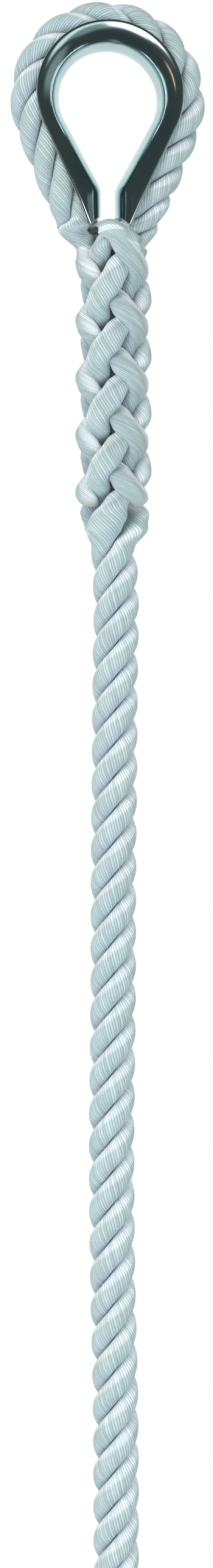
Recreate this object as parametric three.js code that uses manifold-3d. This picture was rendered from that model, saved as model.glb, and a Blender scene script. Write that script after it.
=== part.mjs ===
// A thimble eye: a three-strand rope laid round a teardrop metal thimble and spliced back
// into itself, with the standing rope hanging below the splice.
// Millimetres, +Z up. The origin is the middle of the thimble's bearing face at the crown,
// where a hook or pin carries the eye. X runs across the eye and the front faces -Y.

import * as THREE from 'three';
import { mergeVertices } from 'three/addons/utils/BufferGeometryUtils.js';
import Module from 'manifold-3d';

const wasm = await Module();
wasm.setup();

// Rope
const ropeDiameter = 16.7;
const strandCount = 3;
const layLength = 36;
const strandGap = 0.5;
const tuckGap = 1.6;
const jointGap = 0.3;

// Thimble
const openingWidth = 36;
const openingLength = 61;
const legAngle = THREE.MathUtils.degToRad(28.5);
const tipGap = 5.4;
const tipBend = 6;
const sheetThickness = 1.7;
const channelWidth = 19.8;
const rimHeight = 8.4;
const tipHeight = 6.2;
const tipSlant = THREE.MathUtils.degToRad(45);
const edgeRounding = 0.35;

// The rope in the eye, pulled down into the channel. Its lay is a little longer, and looser
// towards the throat: the shares of a turn lost in the lower half of each leg.
const eyeRopeDiameter = 15.6;
const eyeLayLength = 38.5;
const standingLoosened = 0.03;
const tuckedLoosened = 0.3;
const seatClearance = 0.4;
const ropeLegAngle = THREE.MathUtils.degToRad(22.3);

// The splice, measured down from the throat, where the two legs meet. The standing strands
// come from the right leg, the tucked ones from the left leg.
const throatDrop = 1;
const spliceLength = 119;
const spliceDiameter = 26.6;
const tuckPitch = 62.5;
const throatTurn = {
  standing: THREE.MathUtils.degToRad(10), tucked: THREE.MathUtils.degToRad(63.5),
};
const mergeLength = { standing: 14, tucked: 8 };
const frontMergeLength = 6;
const frontDepth = 12;
const mergeStart = { standing: 0, tucked: 2 };
const spreadLength = { standing: 7, tucked: 7 };
const turnStart = 7;
const turnLength = 5;
const firstCross = 9;
const crossLength = 8;
const axisOffset = 2.2;
const axisRun = 12;
const firstLobeDrop = 27.2;
const lobeColumn = THREE.MathUtils.degToRad(-25);
const tailSetback = 14;
const fadeLength = 6;
const gatherLength = 7;
const gatherLag = 4.9;

// Sections of the strands in the splice: outside, where they pass under, and where the
// standing strands close up below the tucked strands' ends
const lobeThickness = { standing: 6.6, tucked: 6 };
const lobeWidth = { standing: 12.5, tucked: 16.5 };
const steepness = { standing: 0.2, tucked: -0.13 };
const underRadius = { standing: 5.2, tucked: 4.3 };
const underThickness = 9.2;
const underWidth = 14.8;
const closedRadius = 7;
const closedThickness = 13;
const closedWidth = 17;
const ropeSlack = 1.15;
const lobeBulge = 0.6;
const thickShare = 1.3;

// The tucked strands cross the throat at a slant, so that their level sections are longer there
const slanting = 0.7;
const slantingStart = 1;
const slantingEnd = 7;
const slantingEase = 4;

// Below the throat the thimble's channel still holds the strands, down to its tips
const tipDepth = 3.8;
const tipEase = 4;
const tipRelease = 30;

// The standing rope below the splice: where it ends below the origin, and its line, as
// [across, share of the way from the splice to that end]
const ropeEnd = 553;
const ropeLine = [
  [2.2, -0.05], [2.2, 0], [3.0, 0.05], [2.7, 0.12], [2.5, 0.19], [2.1, 0.31], [1.9, 0.45],
  [1.4, 0.58], [1.7, 0.71], [2.8, 0.84], [3.0, 0.92], [3.0, 1.05],
];
const bendCount = 3;
const bendRange = THREE.MathUtils.degToRad(60);
const pointRadius = 0.3;
const endMargin = 3;

// Steps of the faceted shapes
const sectionSides = 12;
const tubeSides = 12;
const eyeStep = 3.6;
const throatStep = 0.7;
const throatDepth = 20;
const spliceStep = 1.7;
const crownSteps = 25;
const channelSteps = 7;
const legSteps = 4;
const tipSteps = 3;
const mergeTolerance = 1e-4;

const turn = 2 * Math.PI;
const crownRadius = openingWidth / 2;
const crownCentre = new THREE.Vector2(0, -crownRadius);
const throatZ = -openingLength - throatDrop;
const spliceEndZ = throatZ - spliceLength;
const tailEndZ = spliceEndZ + tailSetback;
const stretchLength = (spliceEndZ + ropeEnd) / bendCount;
const bendZ = (i) => spliceEndZ - stretchLength * (i + 0.5);

// Eased steps: 0 before the start, 1 past the end, and the area under that curve
function eased(t) {
  const c = THREE.MathUtils.clamp(t, 0, 1);
  return c * c * (3 - 2 * c);
}

function easedArea(t) {
  if (t <= 0) return 0;
  if (t >= 1) return t - 0.5;
  return t * t * t * (1 - t / 2);
}

// A closed solid from its points and faces, with the faces turned outward
function closedGeometry(points, faces) {
  const geometry = new THREE.BufferGeometry();
  geometry.setAttribute('position', new THREE.Float32BufferAttribute(
    points.flatMap((p) => [p.x, p.y, p.z]), 3));
  let volume = 0;
  for (let i = 0; i < faces.length; i += 3) {
    const [a, b, c] = [0, 1, 2].map((j) => points[faces[i + j]]);
    volume += a.dot(b.clone().cross(c));
  }
  geometry.setIndex(volume < 0 ? faces.slice().reverse() : faces);
  geometry.computeVertexNormals();
  return geometry;
}

// A strand from rings of points round its centre line, with a fan at each end. Each quad is
// split along the diagonal nearer the centre line, so that twisted neighbours keep their gap.
function strandGeometry(rings, centres) {
  const sides = rings[0].length;
  const points = rings.flat();
  const first = points.push(centres[0]) - 1;
  const last = points.push(centres[centres.length - 1]) - 1;
  const faces = [];
  for (let i = 0; i < rings.length - 1; i += 1) {
    const middle = centres[i].clone().lerp(centres[i + 1], 0.5);
    for (let j = 0; j < sides; j += 1) {
      const a = i * sides + j;
      const b = i * sides + (j + 1) % sides;
      const c = a + sides;
      const d = b + sides;
      const forward = points[a].clone().lerp(points[d], 0.5);
      const back = points[b].clone().lerp(points[c], 0.5);
      if (forward.distanceTo(middle) < back.distanceTo(middle)) {
        faces.push(a, b, d, a, d, c);
      } else {
        faces.push(a, b, c, b, d, c);
      }
    }
  }
  const lastRing = (rings.length - 1) * sides;
  for (let j = 0; j < sides; j += 1) {
    const next = (j + 1) % sides;
    faces.push(first, next, j);
    faces.push(last, lastRing + j, lastRing + next);
  }
  return closedGeometry(points, faces);
}

// The thimble: its bearing line and its rim line, as matching points in the XZ plane,
// from the left tip over the crown to the right tip
function thimbleStations() {
  const tipX = -tipGap / 2;
  const tipZ = -openingLength;
  const tangent = new THREE.Vector2(
    -crownRadius * Math.cos(legAngle), -crownRadius - crownRadius * Math.sin(legAngle));
  const bendX = tipX - tipBend * (1 - Math.cos(legAngle));
  const legLength = (bendX - tangent.x) / Math.sin(legAngle);
  const bendTop = new THREE.Vector2(bendX, tangent.y - legLength * Math.cos(legAngle));
  const bendFoot = bendTop.y - tipBend * Math.sin(legAngle);
  const rimAtTip = new THREE.Vector2(
    tipX - tipHeight * Math.cos(tipSlant), tipZ - tipHeight * Math.sin(tipSlant));
  const rimAtCrown = new THREE.Vector2(
    -(crownRadius + rimHeight) * Math.cos(legAngle),
    -crownRadius - (crownRadius + rimHeight) * Math.sin(legAngle));
  const bearing = [];
  for (let i = 0; i < tipSteps; i += 1) {
    bearing.push(new THREE.Vector2(tipX, THREE.MathUtils.lerp(tipZ, bendFoot, i / tipSteps)));
  }
  for (let i = 0; i < tipSteps; i += 1) {
    const angle = legAngle * i / tipSteps;
    bearing.push(new THREE.Vector2(
      tipX - tipBend * (1 - Math.cos(angle)), bendFoot + tipBend * Math.sin(angle)));
  }
  for (let i = 0; i < legSteps; i += 1) {
    bearing.push(bendTop.clone().lerp(tangent, i / legSteps));
  }
  const runs = bearing.map((point, i) => (i ? point.distanceTo(bearing[i - 1]) : 0));
  for (let i = 1; i < runs.length; i += 1) {
    runs[i] += runs[i - 1];
  }
  const wholeRun = runs[runs.length - 1] + tangent.distanceTo(bearing[bearing.length - 1]);
  const left = bearing.map((point, i) => ({
    bearing: point,
    rim: rimAtTip.clone().lerp(rimAtCrown, runs[i] / wholeRun),
  }));
  const crown = [];
  const span = Math.PI + 2 * legAngle;
  const chord = Math.cos(span / crownSteps / 2);
  for (let i = 0; i <= crownSteps; i += 1) {
    const angle = Math.PI + legAngle - span * i / crownSteps;
    const out = new THREE.Vector2(Math.cos(angle), Math.sin(angle));
    crown.push({
      bearing: crownCentre.clone().addScaledVector(out, crownRadius / chord),
      rim: crownCentre.clone().addScaledVector(out, (crownRadius + rimHeight) / chord),
    });
  }
  const right = left.map(({ bearing: b, rim }) => ({
    bearing: new THREE.Vector2(-b.x, b.y),
    rim: new THREE.Vector2(-rim.x, rim.y),
  }));
  return [...left, ...crown, ...right.reverse()];
}

// The channel's section at one station, as [height above the bearing line, across]
function channelSection(height) {
  const outer = channelWidth / 2;
  const inner = outer - sheetThickness;
  const reach = Math.acos(THREE.MathUtils.clamp(1 - height / outer, -1, 1));
  const flat = Math.cos(reach / channelSteps);
  const section = [];
  const arc = (radius, from, to) => {
    for (let i = 0; i <= channelSteps; i += 1) {
      const angle = THREE.MathUtils.lerp(from, to, i / channelSteps);
      section.push([outer - radius / flat * Math.cos(angle), radius / flat * Math.sin(angle)]);
    }
  };
  const edge = (side) => {
    const radius = outer - sheetThickness / 2;
    const angle = side * (reach + edgeRounding / radius);
    section.push([outer - radius * Math.cos(angle), radius * Math.sin(angle)]);
  };
  arc(outer, -reach, reach);
  edge(1);
  arc(inner, reach, -reach);
  edge(-1);
  return section;
}

// The channel bent round the eye. Its end faces join the outer arc to the inner one.
function thimbleGeometry() {
  const rings = thimbleStations().map(({ bearing, rim }) => {
    const up = rim.clone().sub(bearing);
    const height = up.length();
    up.normalize();
    return channelSection(height).map(([h, across]) => new THREE.Vector3(
      bearing.x + up.x * h, across, bearing.y + up.y * h));
  });
  const sides = rings[0].length;
  const half = sides / 2;
  const faces = [];
  for (let i = 0; i < rings.length - 1; i += 1) {
    for (let j = 0; j < sides; j += 1) {
      const a = i * sides + j;
      const b = i * sides + (j + 1) % sides;
      faces.push(a, b, b + sides, a, b + sides, a + sides);
    }
  }
  const endFace = (start, flipped) => {
    const add = (a, b, c) => {
      faces.push(start + a, start + (flipped ? c : b), start + (flipped ? b : c));
    };
    for (let j = 0; j < half - 2; j += 1) {
      const mate = sides - 2 - j;
      add(j, mate, j + 1);
      add(j + 1, mate, mate - 1);
    }
    add(sides - 1, sides - 2, 0);
    add(half - 2, half, half - 1);
  };
  endFace(0, false);
  endFace((rings.length - 1) * sides, true);
  return closedGeometry(rings.flat(), faces);
}

// Where the rope's centre line runs. In the eye it is a crown arc and two straight legs;
// below the throat the legs ease onto the splice's axis.
const eyeRadius = crownRadius + sheetThickness + seatClearance + eyeRopeDiameter / 2;
const legTop = new THREE.Vector2(
  eyeRadius * Math.cos(ropeLegAngle), -crownRadius - eyeRadius * Math.sin(ropeLegAngle));
const legRun = (legTop.y - throatZ) / Math.cos(ropeLegAngle);
const arcAngle = Math.PI + 2 * ropeLegAngle;
const eyeRun = 2 * legRun + eyeRadius * arcAngle;
const side = { standing: 1, tucked: -1 };

// Angles are measured round a rope's centre from the front (-Y) towards +X.
// Going down, the standing strands turn one way in the rope and in the splice;
// the tucked strands turn back at the throat and wind against them.
const layRate = turn / layLength;
const tuckRate = turn / tuckPitch;

function throatLoosening(kind, depth) {
  return throatTurn[kind] * (1 - eased(depth / spreadLength[kind]));
}

function standingTurn(z) {
  const depth = throatZ - z;
  const opening = spreadLength.standing;
  const opened = opening * easedArea(depth / opening);
  const lagged = depth - spliceLength - gatherLag;
  const closed = gatherLength * easedArea(lagged / gatherLength + 1);
  return -layRate * depth + (layRate - tuckRate) * (opened - closed)
    + throatLoosening('standing', depth);
}

function tuckedTurn(z) {
  const depth = throatZ - z;
  const turned = turnLength * easedArea((depth - turnStart) / turnLength);
  return -layRate * depth + (layRate + tuckRate) * turned + throatLoosening('tucked', depth);
}

const firstLobeZ = throatZ - firstLobeDrop;
const standingStart = lobeColumn - standingTurn(firstLobeZ);
const tuckedStart = lobeColumn - tuckedTurn(firstLobeZ);

// The lay in the eye is set a little off, so that each strand meets its tuck
const strandShare = turn / strandCount;
const eyeStart = standingStart + throatTurn.standing;
const eyeEnd = tuckedStart + throatTurn.tucked;
const meeting = -eyeEnd - eyeStart;
const evenRun = eyeRun - (standingLoosened + tuckedLoosened) * legRun / 2;
const eyeShift = Math.round((turn * evenRun / eyeLayLength - meeting) / strandShare);
const eyeRate = (meeting + strandShare * eyeShift) / evenRun;

function eyeAngle(run) {
  const back = eyeRun - run;
  const loosened = standingLoosened * (run - legRun * easedArea(run / legRun))
    + tuckedLoosened * (legRun / 2 - back + legRun * easedArea(back / legRun));
  return eyeStart + eyeRate * (run - loosened);
}

// The tucked strand that comes down at the front crosses over earlier than the others
const tuckNumbers = Array.from({ length: strandCount }, (_, k) => k);
const firstAngle = tuckedStart + tuckedTurn(throatZ - frontDepth);
const frontness = (k) => Math.cos(firstAngle + k * strandShare);
const frontTuck = tuckNumbers.reduce((best, k) => (frontness(k) > frontness(best) ? k : best), 0);

function legOffset(kind, index, z) {
  const front = kind === 'tucked' && index === frontTuck;
  const merge = front ? frontMergeLength : mergeLength[kind];
  const straight = legTop.x - (legTop.y - z) * Math.tan(ropeLegAngle);
  const apart = 1 - eased((throatZ - z - mergeStart[kind]) / merge);
  return side[kind] * Math.max(straight, 0) * apart;
}

// How far the strands have opened out into the splice, from 0 to 1, and how far the standing
// ones have closed up below the tucked strands' ends
function spread(kind, z) {
  const opened = eased((throatZ - z) / spreadLength[kind]);
  const gathered = eased((spliceEndZ + gatherLength - z) / gatherLength);
  return opened * (1 - gathered);
}

const closedUp = (z) => eased((tailEndZ - z) / fadeLength);

// The strands' centres keep one radius in a rope; in the splice they go over and under in
// six columns
const ropeRadius = ropeDiameter / 2;
const coreShare = 0.535;
const acrossShare = 1.25;
const plainRadius = (z) => (z > spliceEndZ + gatherLength ? eyeRopeDiameter / 2 : ropeRadius);

function strandAt(kind, index, z) {
  const standing = kind === 'standing';
  const start = standing ? standingStart : tuckedStart;
  const turned = standing ? standingTurn(z) : tuckedTurn(z);
  const even = start + turned + index * strandShare;
  const open = spread(kind, z);
  const angle = even - steepness[kind] * open * Math.sin(strandCount * (even - lobeColumn));
  const woven = Math.cos(strandCount * (angle - lobeColumn));
  const begun = eased((throatZ - z - firstCross) / crossLength);
  const over = side[kind] * (woven * begun - (1 - begun));
  const outer = (spliceDiameter - lobeThickness[kind]) / 2;
  const inner = underRadius[kind];
  const wovenRadius = THREE.MathUtils.lerp(inner, outer, (1 + over) / 2);
  const splicedRadius = THREE.MathUtils.lerp(wovenRadius, closedRadius, closedUp(z));
  const radius = THREE.MathUtils.lerp(coreShare * plainRadius(z), splicedRadius, open);
  const axis = axisOffset * eased((throatZ - z) / axisRun) + legOffset(kind, index, z);
  return {
    angle,
    axis,
    centre: new THREE.Vector2(axis + radius * Math.sin(angle), radius * Math.cos(angle)),
    over,
    exists: standing || z >= tailEndZ,
  };
}

// A strand's section: an oval, pressed flat where it meets its neighbours and where other
// limits hold it. Directions are counted from the strand's own outward one.
const pressSharpness = 9;
const softSharpness = 4;
const leastFacing = 0.05;
const leastReach = 0.5;

function pressedRing(place, oval, neighbours, limits, sharpness) {
  const ring = [];
  for (let j = 0; j < sectionSides; j += 1) {
    const direction = turn * j / sectionSides;
    const free = 1 / Math.hypot(
      Math.cos(direction) / oval.radial, Math.sin(direction) / oval.across);
    const way = place.angle + direction;
    const facing = new THREE.Vector2(Math.sin(way), Math.cos(way));
    const reaches = [free, ...limits.map((limit) => limit(facing))];
    neighbours.forEach((other) => {
      const apart = other.centre.clone().sub(place.centre);
      const distance = apart.length();
      const cosine = facing.dot(apart) / distance;
      if (cosine > leastFacing) {
        reaches.push((distance - other.gap) / 2 / cosine);
      }
    });
    const sum = reaches.reduce(
      (total, reach) => total + Math.max(reach, leastReach) ** -sharpness, 0);
    ring.push(place.centre.clone().addScaledVector(facing, sum ** (-1 / sharpness)));
  }
  return ring;
}

// A circle that a strand keeps within
function circleLimit(place, across, radius) {
  const away = place.centre.clone().sub(new THREE.Vector2(across, 0));
  const inside = radius * radius - away.lengthSq();
  return (facing) => {
    const toward = facing.dot(away);
    return Math.sqrt(Math.max(toward * toward + inside, 0)) - toward;
  };
}

function channelLimit(place, kind, z) {
  const across = side[kind] * (tipGap + channelWidth) / 2;
  const held = channelWidth / 2 - sheetThickness - seatClearance;
  const freed = tipRelease * eased((throatZ - z - tipDepth) / tipEase);
  return circleLimit(place, across, held + freed);
}

function slant(kind, z) {
  const depth = throatZ - z;
  const begun = eased((depth - slantingStart) / slantingEase);
  const ended = eased((depth - slantingEnd) / slantingEase);
  return kind === 'standing' ? 1 : 1 + slanting * begun * (1 - ended);
}

// All strands of the splice have their rings on the same level planes, closer at the throat
const splicePlanes = [throatZ - jointGap / 2];
while (splicePlanes[splicePlanes.length - 1] > spliceEndZ) {
  const z = splicePlanes[splicePlanes.length - 1];
  const step = z > throatZ - throatDepth ? throatStep : spliceStep;
  splicePlanes.push(Math.max(z - step, spliceEndZ));
}

// A strand in the splice, from the throat down to its last plane
function spliceStrand(kind, index, bottomZ) {
  const rings = [];
  const centres = [];
  splicePlanes.filter((z) => z >= bottomZ).forEach((z) => {
    const place = strandAt(kind, index, z);
    const neighbours = [];
    ['standing', 'tucked'].forEach((family) => {
      for (let k = 0; k < strandCount; k += 1) {
        const other = strandAt(family, k, z);
        if (other.exists && !(family === kind && k === index)) {
          const gap = family === kind ? strandGap : tuckGap;
          neighbours.push({ centre: other.centre, gap });
        }
      }
    });
    const open = spread(kind, z);
    const closed = closedUp(z);
    const share = (1 + place.over) / 2;
    const half = (1 - coreShare) * plainRadius(z);
    const woven = THREE.MathUtils.lerp(
      underThickness, thickShare * lobeThickness[kind], share);
    const wovenWidth = THREE.MathUtils.lerp(underWidth, lobeWidth[kind], share);
    const thickness = THREE.MathUtils.lerp(woven, closedThickness, closed);
    const width = THREE.MathUtils.lerp(wovenWidth, closedWidth, closed);
    const oval = {
      radial: slant(kind, z) * THREE.MathUtils.lerp(half, thickness / 2, open),
      across: slant(kind, z) * THREE.MathUtils.lerp(acrossShare * half, width / 2, open),
    };
    const cover = THREE.MathUtils.lerp(
      ropeSlack * plainRadius(z), spliceDiameter / 2 + lobeBulge, open);
    const limits = [circleLimit(place, place.axis, cover), channelLimit(place, kind, z)];
    const sharpness = THREE.MathUtils.lerp(pressSharpness, softSharpness, open);
    const flat = pressedRing(place, oval, neighbours, limits, sharpness);
    rings.push(flat.map((p) => new THREE.Vector3(p.x, -p.y, z)));
    centres.push(new THREE.Vector3(place.centre.x, -place.centre.y, z));
  });
  return strandGeometry(rings, centres);
}

// The rope's centre line in the eye, at a run from the right throat to the left one,
// and the side that looks away from the eye
function eyeLine(run) {
  const along = Math.min(run, eyeRun - run);
  const mirror = run > eyeRun / 2 ? -1 : 1;
  let point;
  let tilt;
  if (along < legRun) {
    const z = throatZ + along * Math.cos(ropeLegAngle);
    point = new THREE.Vector2(legOffset('standing', 0, z), z);
    tilt = ropeLegAngle;
  } else {
    tilt = ropeLegAngle - (along - legRun) / eyeRadius;
    point = new THREE.Vector2(
      eyeRadius * Math.cos(tilt), -crownRadius - eyeRadius * Math.sin(tilt));
  }
  const planeTilt = tilt * eased(along / (legRun / 2));
  return {
    centre: new THREE.Vector3(mirror * point.x, 0, point.y),
    outward: new THREE.Vector3(mirror * Math.cos(planeTilt), 0, -Math.sin(planeTilt)),
  };
}

function eyeStrand(index) {
  const steps = Math.round(eyeRun / eyeStep);
  const front = new THREE.Vector3(0, -1, 0);
  const radius = coreShare * eyeRopeDiameter / 2;
  const half = (1 - coreShare) * eyeRopeDiameter / 2;
  const oval = { radial: half, across: acrossShare * half };
  const inRope = (angle) => new THREE.Vector2(radius * Math.sin(angle), radius * Math.cos(angle));
  const rings = [];
  const centres = [];
  for (let i = 0; i <= steps; i += 1) {
    const run = THREE.MathUtils.lerp(jointGap / 2, eyeRun - jointGap / 2, i / steps);
    const { centre, outward } = eyeLine(run);
    const angle = eyeAngle(run) + index * strandShare;
    const others = [];
    for (let k = 1; k < strandCount; k += 1) {
      others.push({ centre: inRope(angle + k * strandShare), gap: strandGap });
    }
    const place = { angle, centre: inRope(angle) };
    const toSpace = (p) => centre.clone().addScaledVector(outward, p.x).addScaledVector(front, p.y);
    rings.push(pressedRing(place, oval, others, [], pressSharpness).map(toSpace));
    centres.push(toSpace(place.centre));
  }
  return strandGeometry(rings, centres);
}

// The standing rope: plain round stretches that swing on each other. Their facing ends are
// pointed, so that a stretch can lean by the whole bend range without touching the next.
function toSolid(geometry) {
  const plain = geometry.clone();
  plain.deleteAttribute('normal');
  plain.deleteAttribute('uv');
  const joined = mergeVertices(plain, mergeTolerance);
  const index = joined.getIndex().array;
  const faces = [];
  for (let i = 0; i < index.length; i += 3) {
    const [a, b, c] = index.slice(i, i + 3);
    if (a !== b && b !== c && c !== a) faces.push(a, b, c);
  }
  const place = joined.getAttribute('position');
  const points = [];
  for (let i = 0; i < place.count; i += 1) {
    points.push(new THREE.Vector3().fromBufferAttribute(place, i));
  }
  const closed = closedGeometry(points, faces);
  return new wasm.Manifold(new wasm.Mesh({
    numProp: 3,
    vertProperties: closed.getAttribute('position').array,
    triVerts: new Uint32Array(closed.getIndex().array),
  }));
}

function fromSolid(solid) {
  const mesh = solid.getMesh();
  const geometry = new THREE.BufferGeometry();
  geometry.setAttribute('position', new THREE.BufferAttribute(
    new Float32Array(mesh.vertProperties), 3));
  geometry.setIndex(new THREE.BufferAttribute(new Uint32Array(mesh.triVerts), 1));
  geometry.computeVertexNormals();
  return geometry;
}

const ropeCurve = new THREE.CatmullRomCurve3(ropeLine.map(
  ([across, share]) => new THREE.Vector3(across, 0, THREE.MathUtils.lerp(spliceEndZ, -ropeEnd, share))));

function ropePoint(z) {
  let low = 0;
  let high = 1;
  while (high - low > 1e-6) {
    const middle = (low + high) / 2;
    if (ropeCurve.getPoint(middle).z > z) low = middle;
    else high = middle;
  }
  return ropeCurve.getPoint(low);
}

// What a stretch keeps at one end: all beyond a flat cut, or beyond a point for a bend
function keptBeyond(z, pointed, upper) {
  const lean = pointed ? Math.tan(bendRange / 2) : 0;
  const wide = 2 * ropeDiameter;
  const profile = [
    new THREE.Vector2(0, pointRadius * lean),
    new THREE.Vector2(pointRadius, pointRadius * lean),
    new THREE.Vector2(wide, wide * lean),
    new THREE.Vector2(wide, 2 * stretchLength),
    new THREE.Vector2(0, 2 * stretchLength),
  ];
  const keep = new THREE.LatheGeometry(profile, tubeSides);
  keep.rotateX(upper ? -Math.PI / 2 : Math.PI / 2);
  const point = ropePoint(z);
  keep.translate(point.x, point.y, point.z);
  return toSolid(keep);
}

function ropeStretch(topZ, bottomZ, pointedTop, pointedBottom) {
  const steps = Math.round((topZ - bottomZ + 2 * endMargin) / (2 * ropeDiameter)) + 1;
  const points = [];
  for (let i = 0; i <= steps; i += 1) {
    points.push(ropePoint(THREE.MathUtils.lerp(topZ + endMargin, bottomZ - endMargin, i / steps)));
  }
  const shape = new THREE.Shape();
  for (let j = 0; j < tubeSides; j += 1) {
    const angle = turn * j / tubeSides;
    const corner = [ropeRadius * Math.cos(angle), ropeRadius * Math.sin(angle)];
    if (j === 0) shape.moveTo(...corner);
    else shape.lineTo(...corner);
  }
  const tube = new THREE.ExtrudeGeometry(shape, {
    steps,
    bevelEnabled: false,
    extrudePath: new THREE.CatmullRomCurve3(points),
  });
  const trimmed = toSolid(tube)
    .intersect(keptBeyond(topZ, pointedTop, true))
    .intersect(keptBeyond(bottomZ, pointedBottom, false));
  return fromSolid(trimmed);
}

// The assembly
const thimble = new THREE.Group();
const polishedSteel = () => new THREE.MeshStandardMaterial({
  color: 0xb4b8b6, roughness: 0.18, metalness: 1,
});
const whiteRope = () => new THREE.MeshStandardMaterial({
  color: 0xd6e0e0, roughness: 0.75, metalness: 0,
});

function addPart(group, name, geometry, material) {
  const mesh = new THREE.Mesh(geometry, material);
  mesh.name = name;
  group.add(mesh);
}

addPart(thimble, 'thimble', thimbleGeometry(), polishedSteel());

// Each strand runs up the splice, round the eye and back down as a tuck
const strandNames = ['a', 'b', 'c'];
const strands = new THREE.Group();
strandNames.forEach((letter, k) => {
  const tuck = (((-eyeShift - k) % strandCount) + strandCount) % strandCount;
  addPart(strands, `standing_strand_${letter}`,
    spliceStrand('standing', k, spliceEndZ), whiteRope());
  addPart(strands, `eye_strand_${letter}`, eyeStrand(k), whiteRope());
  addPart(strands, `tucked_strand_${letter}`,
    spliceStrand('tucked', tuck, tailEndZ), whiteRope());
});

// The stretches of the standing rope, from the splice down to the cut end
const standingRope = new THREE.Group();
const stretchNames = ['root', 'upper', 'middle', 'lower'];
stretchNames.forEach((name, i) => {
  const first = i === 0;
  const last = i === stretchNames.length - 1;
  const topZ = first ? spliceEndZ - jointGap : bendZ(i - 1) - jointGap / 2;
  const bottomZ = last ? -ropeEnd : bendZ(i) + jointGap / 2;
  addPart(standingRope, `standing_rope_${name}`,
    ropeStretch(topZ, bottomZ, !first, !last), whiteRope());
});

const thimbleEye = new THREE.Group();
thimbleEye.add(thimble, strands, standingRope);

export default thimbleEye;
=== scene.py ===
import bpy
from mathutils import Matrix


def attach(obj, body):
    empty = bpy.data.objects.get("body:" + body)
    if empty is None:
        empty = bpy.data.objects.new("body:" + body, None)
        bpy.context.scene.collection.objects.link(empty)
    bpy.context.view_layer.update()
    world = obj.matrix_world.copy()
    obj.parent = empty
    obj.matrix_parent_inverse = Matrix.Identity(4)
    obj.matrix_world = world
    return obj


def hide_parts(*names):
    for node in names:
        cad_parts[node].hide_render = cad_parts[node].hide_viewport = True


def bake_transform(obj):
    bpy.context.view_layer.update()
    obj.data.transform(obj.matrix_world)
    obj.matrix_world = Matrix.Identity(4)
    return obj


bl_info = {
    "name": "Thimble eye",
    "version": (1, 0, 0),
    "blender": (4, 5, 0),
    "location": "3D View > Sidebar > Thimble eye",
    "description": "A laid rope spliced round a polished teardrop thimble, with its standing rope",
    "category": "Object",
}

import math

import bpy
import numpy as np
from bpy.props import FloatProperty, FloatVectorProperty, IntProperty, PointerProperty
from bpy.types import Operator, Panel, PropertyGroup
from mathutils import Vector

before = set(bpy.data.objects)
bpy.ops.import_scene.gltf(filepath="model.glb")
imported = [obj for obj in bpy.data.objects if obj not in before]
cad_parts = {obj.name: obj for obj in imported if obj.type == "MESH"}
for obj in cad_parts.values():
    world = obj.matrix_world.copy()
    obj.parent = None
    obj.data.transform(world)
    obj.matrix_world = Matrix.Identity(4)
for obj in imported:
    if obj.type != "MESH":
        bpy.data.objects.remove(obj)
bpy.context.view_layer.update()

MM = 0.001
TURN = 2 * math.pi
STRANDS = 3
LETTERS = ("a", "b", "c")
FAMILIES = ("standing", "tucked")


# Sizes and colours

def metres(value, name, text):
    return FloatProperty(name=name, description=text, default=value, unit="LENGTH")


def degrees(value, name, text):
    return FloatProperty(name=name, description=text, default=math.radians(value), unit="ROTATION")


def watts(value, name, text):
    return FloatProperty(name=name, description=text, default=value, unit="POWER")


def rgb(value, name, text, most=1):
    return FloatVectorProperty(
        name=name, description=text, default=value, subtype="COLOR", size=3, min=0, max=most)


class RopeSettings(PropertyGroup):
    """The laid rope and its yarns"""

    diameter: metres(0.0167, "Rope diameter", "Across the circle round the strands")
    lay_length: metres(0.036, "Lay length", "Along the rope for one full turn of a strand")
    yarns: IntProperty(
        name="Yarns", description="Yarns showing round one strand", default=24, min=8, max=60)
    yarn_relief: metres(0.0002, "Yarn relief", "Depth of the grooves between yarns")
    yarn_twist: FloatProperty(
        name="Yarn twist", description="Turns of the yarns in a strand for each metre of strand",
        default=34.2)
    strand_gap: metres(-0.0002, "Strand gap", "Left between strands that touch")
    end: metres(0.553, "Rope end", "Cut end of the rope, below the bearing face")
    yarn_color: rgb((0.55, 0.645, 0.655), "Yarn", "Colour of the yarns")
    # Painted shade: the grooves between the yarns are painted this darker colour
    groove_shade_color: rgb((0.42, 0.51, 0.53), "Groove", "Colour deep between the yarns")
    # Painted shade: the flanks that face down into the valleys are painted with this darker tint
    painted_valley_shade: rgb((0.9, 0.95, 0.98), "Painted valley shade", "What dulls the yarns where strands meet")
    # Painted highlight: the flanks that face up the rope are painted with this brighter tint, as
    # if lit from above
    painted_ridge_highlight: rgb(
        (1.55, 1.43, 1.46), "Painted ridge highlight", "What brightens the yarns on the upper flanks", most=2)
    sealed_color: rgb(
        (0.52, 0.58, 0.58), "Sealed end", "Colour of yarn melted together by a hot knife")


class EyeSettings(PropertyGroup):
    """The thimble and the rope round it"""

    opening_width: metres(0.036, "Opening width", "Across the round crown of the opening")
    opening_length: metres(0.061, "Opening length", "From the bearing face down to the tips")
    leg_angle: degrees(28.5, "Leg angle", "Lean of the thimble's legs from upright")
    tip_gap: metres(0.0054, "Tip gap", "Between the thimble's two tips")
    channel_width: metres(0.0198, "Channel width", "Across the channel outside")
    rim_height: metres(0.0084, "Rim height", "From the bearing face out to the rim at the crown")
    sheet_thickness: metres(0.0017, "Sheet thickness", "Thickness of the thimble's sheet")
    rope_diameter: metres(
        0.0156, "Rope in the eye", "Diameter of the rope pulled down into the channel")
    lay_length: metres(
        0.0385, "Lay length in the eye", "Along the crown for one full turn of a strand")
    rope_leg_angle: degrees(22.3, "Rope leg angle", "Lean of the rope's two legs from upright")
    steel_color: rgb((0.55, 0.71, 0.715), "Steel", "Colour of the polished steel")


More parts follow.
